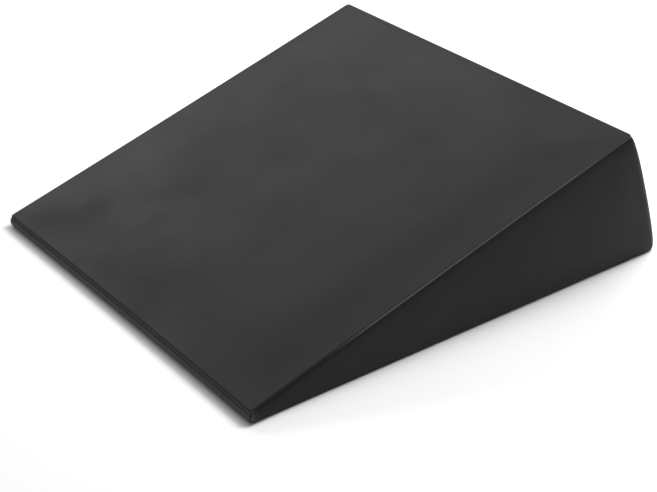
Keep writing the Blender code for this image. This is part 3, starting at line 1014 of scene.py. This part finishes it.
TAPE_PLACES = (0.0, 0.04, 0.12, 0.3, 0.5, 0.7, 0.86, 0.94, 0.97, 1.0)  # across the tape
TAPE_BEADS = (0.0, 0.10, 0.02, 0.0, 0.0, 0.0, 0.0, 0.06, 0.12, 0.0)  # mm that the tape stands up there


def build_tape(word, side):
    """A thin woven strip with a slight selvedge bead."""
    low, high = box_on_back(f"zip_tape_{word}")
    half = (high[1] - low[1]) / 2
    centre = (high[1] + low[1]) / 2
    edge = ZIP_UP + side * TAPE_EDGE
    far = centre + side * half
    out = high[2]
    spots = []
    count = round((high[0] - low[0]) / TAPE_STEP)
    for i in range(count + 1):
        x = low[0] + (high[0] - low[0]) * i / count
        near = edge + side * splay(x)
        ripple = 0.05 * MM * noise.noise(Vector((x * 90, side * 3.0, 0)))
        for share, bead in zip(TAPE_PLACES, TAPE_BEADS):
            spots.append(on_back(x, near + (far - near) * share, out + ripple + bead * MM - 0.12 * MM))
    tape = mesh_object(f"zip_tape_{word}_cloth", spots, grid_faces(count + 1, len(TAPE_PLACES)), tape_weave)
    face_outward(tape, BACK_NORMAL)
    give_thickness(tape, TAPE_THICKNESS)
    belongs(tape, "zip_textile", f"zip_tape_{word}")


def build_coil(word, side):
    """One monofilament wound into a flat coil, and the two rows of thread that sew it to the tape."""
    low, high = box_on_back(f"zip_coil_{word}")
    first, last = low[0] + 2 * WIRE_R, high[0] - 2 * WIRE_R
    turns = int((last - first) / PITCH)
    offset = 0.0 if side > 0 else PITCH / 2
    middle = (COIL_INNER + COIL_OUTER) / 2
    reach = (COIL_OUTER - COIL_INNER) / 2
    centre_out = (COIL_LOW_OUT + COIL_TOP_OUT) / 2
    rise = (COIL_TOP_OUT - COIL_LOW_OUT) / 2
    path = []
    for i in range((turns - 1) * POINTS_PER_TURN):
        share = i / POINTS_PER_TURN
        turn = 2 * math.pi * share
        x = first + offset + PITCH * share
        up = ZIP_UP + side * (middle + splay(x) - reach * rounded_wave(turn))
        path.append(on_back(x, up, centre_out + rise * rounded_wave(turn - math.pi / 2)))
    coil = tubes(f"zip_coil_{word}_wire", [path], WIRE_R, coil_nylon)
    belongs(coil, "zip_textile", f"zip_coil_{word}")
    for place, in_from_middle in COIL_STITCH_ROWS:
        stitches = []
        for i in range(int((last - first) / (PITCH / 4))):
            x = first + PITCH / 4 * i
            dip = COIL_STITCH_DIP * math.cos(2 * math.pi * i / 4)
            stitches.append(on_back(x, ZIP_UP + side * (in_from_middle + splay(x)), COIL_STITCH_OUT + dip))
        row = tubes(f"zip_coil_{word}_{place}_stitches", [stitches], COIL_STITCH_R, thread, sides=5)
        belongs(row, "zip_textile")


STITCH_LENGTH = 3.0 * MM
STITCH_R = 0.2 * MM
STITCH_ENDS = ((0.46, -0.50), (0.42, -0.12), (0.30, 0.10))  # share of the length from its middle, mm out
STITCH_SHAPE = [(-a, b) for a, b in STITCH_ENDS] + [(0.0, 0.18)] + list(reversed(STITCH_ENDS))


def build_topstitch(word, side):
    """Separate stitches beside the zip, which dive into their needle holes."""
    low, high = box_on_back(f"zip_topstitch_{word}")
    up = (low[1] + high[1]) / 2
    count = round((high[0] - low[0]) / STITCH_LENGTH)
    paths = []
    for i in range(count):
        x = low[0] + STITCH_LENGTH * (i + 0.5)
        skew = 0.12 * MM * noise.noise(Vector((i * 1.7, side, 0.5)))
        spots = [(x + a * STITCH_LENGTH, up + skew * a, 0.12 * MM + b * MM) for a, b in STITCH_SHAPE]
        paths.append([on_back(*spot) for spot in spots])
    row = tubes(f"zip_topstitch_{word}_threads", paths, STITCH_R, thread)
    belongs(row, "zip_textile", f"zip_topstitch_{word}")


STOP_VOXEL = 0.14 * MM
SLIDER_VOXEL = 0.15 * MM
STAMP_DEPTH = 0.22 * MM
STAMP_WALL = 0.35 * MM


def softened(node, voxel, rounds, body=ROOT):
    """A cast copy of a hard CAD piece: the same shape with rounded corners."""
    piece = bpy.data.objects.new(f"{node}_cast", frame["nodes"][node].data.copy())
    bpy.context.scene.collection.objects.link(piece)
    piece.matrix_world = frame["nodes"][node].matrix_world.copy()
    merge_close(piece, 0.005 * MM)
    outward_normals(piece)
    remesh(piece, voxel)
    smooth = piece.modifiers.new("worn", "SMOOTH")
    smooth.factor = 0.5
    smooth.iterations = rounds
    piece.data.materials.clear()
    piece.data.materials.append(metal)
    piece.data.shade_smooth()
    return belongs(piece, "zip_metal", node, body=body)


def stamp_panel(pull):
    """Sinks a shallow panel into both faces of the pull."""
    low, high = box_on_back("zip_pull_tab")
    middle = (low[2] + high[2]) / 2
    tail, root = low[0] + 1.5 * MM, high[0] - 8.5 * MM
    reach = (high[1] - low[1]) / 2 - 1.3 * MM
    for vertex in pull.data.vertices:
        x, up, out = back_face_spot(vertex.co)
        inside = min(x - tail, root - x, reach - abs(up - ZIP_UP))
        if abs(out - middle) > 0.4 * MM:
            sunk = STAMP_DEPTH * float(ease(inside, 0.0, STAMP_WALL))
            vertex.co -= math.copysign(sunk, out - middle) * BACK_NORMAL


def build_zip():
    for word, side in (("upper", 1), ("lower", -1)):
        build_tape(word, side)
        build_coil(word, side)
        build_topstitch(word, side)
        softened(f"zip_top_stop_{word}", STOP_VOXEL, 6)
    softened("zip_bottom_stop", STOP_VOXEL, 8)
    softened("zip_slider", SLIDER_VOXEL, 4, "slider")
    stamp_panel(softened("zip_pull_tab", SLIDER_VOXEL, 4, "pull"))


build_zip()

# --- The label and the overlocked seams


LABEL_TUCK = 3 * MM  # caught in the base seam
LABEL_OUT = 0.75 * MM  # from the panel's swollen face
LABEL_THICKNESS = 0.3 * MM
LABEL_CURL = 1.3 * MM
LABEL_CURL_WITHIN = 12 * MM  # of the loose end
LABEL_ROWS, LABEL_COLUMNS = 16, 26
LABEL_STITCHES = 7  # up each side
LABEL_STITCH_GAP = 2.6 * MM
LABEL_STITCH_LENGTH = 1.9 * MM
LABEL_STITCH_R = 0.12 * MM
LABEL_STITCH_IN = 1.6 * MM  # from the label's edge
LABEL_STITCH_SHAPE = ((0.0, 0.0), (0.3, 0.12), (0.7, 0.12), (1.0, 0.0))  # share of the length, mm out


def over_lower_back(x, up, out):
    """A place some way out from the face of the swollen panel below the zip."""
    return on_back(x, up, wall_swell(on_back(x, up), up, TALL, 3 * MM, ZIP_UP - 7 * MM) + out)


def build_label():
    """A blank satin label, caught in the base seam and sewn down its sides, with a free corner that curls."""
    low, high = box_on_back("care_label")
    width = high[0] - low[0]
    length = high[1] - low[1] + LABEL_TUCK
    points = []
    for r in range(LABEL_ROWS + 1):
        up = low[1] - LABEL_TUCK + length * r / LABEL_ROWS
        curl_here = LABEL_CURL * float(ease(up, high[1] - LABEL_CURL_WITHIN, high[1]))
        for c in range(LABEL_COLUMNS + 1):
            x = low[0] + width * c / LABEL_COLUMNS
            curl = curl_here * (c / LABEL_COLUMNS) ** 2
            ripple = 0.18 * MM * noise.noise(Vector((x * 130, up * 90, 4.0)))
            points.append(over_lower_back(x, up, LABEL_OUT + curl + ripple))
    label = mesh_object("care_label_ribbon", points, grid_faces(LABEL_ROWS + 1, LABEL_COLUMNS + 1), satin)
    face_outward(label, BACK_NORMAL)
    give_thickness(label, LABEL_THICKNESS)
    belongs(label, "label_textile", "care_label")
    stitches = []
    for side in (-1, 1):
        x = (low[0] + high[0]) / 2 + side * (width / 2 - LABEL_STITCH_IN)
        for i in range(LABEL_STITCHES):
            up = low[1] + 2.5 * MM + i * LABEL_STITCH_GAP
            spots = [(up + a * LABEL_STITCH_LENGTH, 0.78 * MM + b * MM) for a, b in LABEL_STITCH_SHAPE]
            stitches.append([over_lower_back(x, *spot) for spot in spots])
    belongs(tubes("care_label_stitches", stitches, LABEL_STITCH_R, thread, sides=5), "label_textile")


OVERLOCK_PITCH = 3.2 * MM
OVERLOCK_IN = 5.1 * MM  # from the seam to the middle of the raw edges
OVERLOCK_WAVE = 0.3 * MM
OVERLOCK_HALF_WIDTH = 0.9 * MM
OVERLOCK_R = 0.16 * MM
OVERLOCK_STEPS = 6  # points in each loop


def build_overlock(name, node, at, normal):
    """The thread that loops round a seam's raw edges inside the cover."""
    ring = [at(s) for s in OUTLINE]
    inward = [-(normal + s.normal()).normalized() for s in OUTLINE]
    across = [(normal - s.normal()).normalized() for s in OUTLINE]
    path = []
    for i, spot in enumerate(ring):
        after = ring[(i + 1) % len(ring)]
        steps = OVERLOCK_STEPS * max(1, round((after - spot).length / OVERLOCK_PITCH))
        for k in range(steps):
            turn = 2 * math.pi * k / OVERLOCK_STEPS
            place = spot.lerp(after, k / steps)
            place = place + inward[i] * (OVERLOCK_IN + OVERLOCK_WAVE * math.cos(turn))
            place = place + across[i] * OVERLOCK_HALF_WIDTH * math.sin(turn)
            path.append(place + seam_pull(place))
    binding = tubes(name, [path], OVERLOCK_R, thread, sides=5, closed=True)
    belongs(binding, "seam_textile", node)


build_label()
build_overlock("top_seam_overlock", "top_seam_thread", Station.top_point, TOP_NORMAL)
build_overlock("base_seam_overlock", "base_seam_thread", Station.base_point, DOWN)

# --- The sizes that the cover's panels were cut to, worked out here and not used further


def declare_cover():
    lip = top_z(FRONT_Y)
    length = BACK_Y - FRONT_Y
    side_wrap = HALF_WIDTH - SIDE_SEAM_X
    side_length = length + side_wrap
    side_area = (lip + TALL) / 2 * (TOP_BACK_Y - FRONT_Y) + LEAN * TALL / 2 + side_wrap * TALL
    side_area += ALLOWANCE * (2 * side_length + TALL)
    lower = box_on_back("back_lower_panel")[1][1] + FOLD_UNDER
    upper = math.hypot(TALL, LEAN) - box_on_back("back_upper_panel")[0][1] + FOLD_UNDER


declare_cover()

# --- Stage: floor, light and camera

CAMERA_AZIMUTH = math.radians(54.08)
CAMERA_ELEVATION = math.radians(29.41)
CAMERA_ROLL = math.radians(-1.08)
CAMERA_DISTANCE = 1.8051
CAMERA_TARGET = Vector((0.0174, -0.0119, 0))
LENS = 87.04
SENSOR_WIDTH = 36.0


def build_camera():
    a, e = CAMERA_AZIMUTH, CAMERA_ELEVATION
    back = Vector((math.sin(a) * math.cos(e), -math.cos(a) * math.cos(e), math.sin(e)))
    data = bpy.data.cameras.new("camera")
    data.sensor_width = SENSOR_WIDTH
    data.lens = LENS
    data.clip_end = 50
    camera = bpy.data.objects.new("camera", data)
    bpy.context.scene.collection.objects.link(camera)
    right = Vector((0, 0, 1)).cross(back).normalized()
    up = back.cross(right)
    across = right * math.cos(CAMERA_ROLL) + up * math.sin(CAMERA_ROLL)
    upright = up * math.cos(CAMERA_ROLL) - right * math.sin(CAMERA_ROLL)
    camera.matrix_world = Matrix((across, upright, back)).transposed().to_4x4()
    camera.location = CAMERA_TARGET + back * CAMERA_DISTANCE
    bpy.context.scene.camera = camera


LIGHT_DISTANCE = 2.8
LIGHT_SIZE = 1.0
LIGHT_AIM = Vector((0, 0, 0.05))
WORLD_STRENGTH = 0.3
FLOOR_HALF = 6.0
STUDIO_LIGHTS = (  # name, azimuth, elevation, power
    ("key", 15, 50, 48),
    ("key_left", -15, 50, 12),
    ("overhead", 0, 65, 23),
    ("left_front_fill", -90, 35, 18.6),
    ("left_back_fill", -60, 35, 11.4),
)


def area_light(name, azimuth, elevation, power):
    """Azimuth in degrees from +Y towards +X, elevation in degrees above the floor."""
    a, e = math.radians(azimuth), math.radians(elevation)
    place = LIGHT_DISTANCE * Vector((math.sin(a) * math.cos(e), math.cos(a) * math.cos(e), math.sin(e)))
    data = bpy.data.lights.new(name, "AREA")
    data.energy = power
    data.shape = "RECTANGLE"
    data.size = data.size_y = LIGHT_SIZE
    light = bpy.data.objects.new(name, data)
    bpy.context.scene.collection.objects.link(light)
    light.location = place
    light.rotation_mode = "QUATERNION"
    light.rotation_quaternion = (LIGHT_AIM - place).to_track_quat("-Z", "Y")


def build_stage():
    world = bpy.data.worlds.new("studio")
    world.use_nodes = True
    background = world.node_tree.nodes["Background"]
    background.inputs["Color"].default_value = (1.0, 1.0, 1.0, 1.0)
    background.inputs["Strength"].default_value = WORLD_STRENGTH
    bpy.context.scene.world = world
    paint = Shader("floor_paint", Roughness=0.9, Specular_IOR_Level=0.1)
    tone = paint.noise(3.0, detail=2.0)
    paint.set("Base Color", paint.ramp(tone, (0.3, (0.90, 0.90, 0.90)), (0.7, (0.92, 0.92, 0.92))))
    corners = [(x * FLOOR_HALF, y * FLOOR_HALF, 0) for x, y in ((-1, -1), (1, -1), (1, 1), (-1, 1))]
    floor = mesh_object("floor", corners, [(0, 1, 2, 3)], paint.material, smooth=False)
    for settings in STUDIO_LIGHTS:
        area_light(*settings)
    bpy.context.scene.view_settings.view_transform = "Standard"
    bpy.context.scene.view_settings.look = "None"


build_camera()
build_stage()
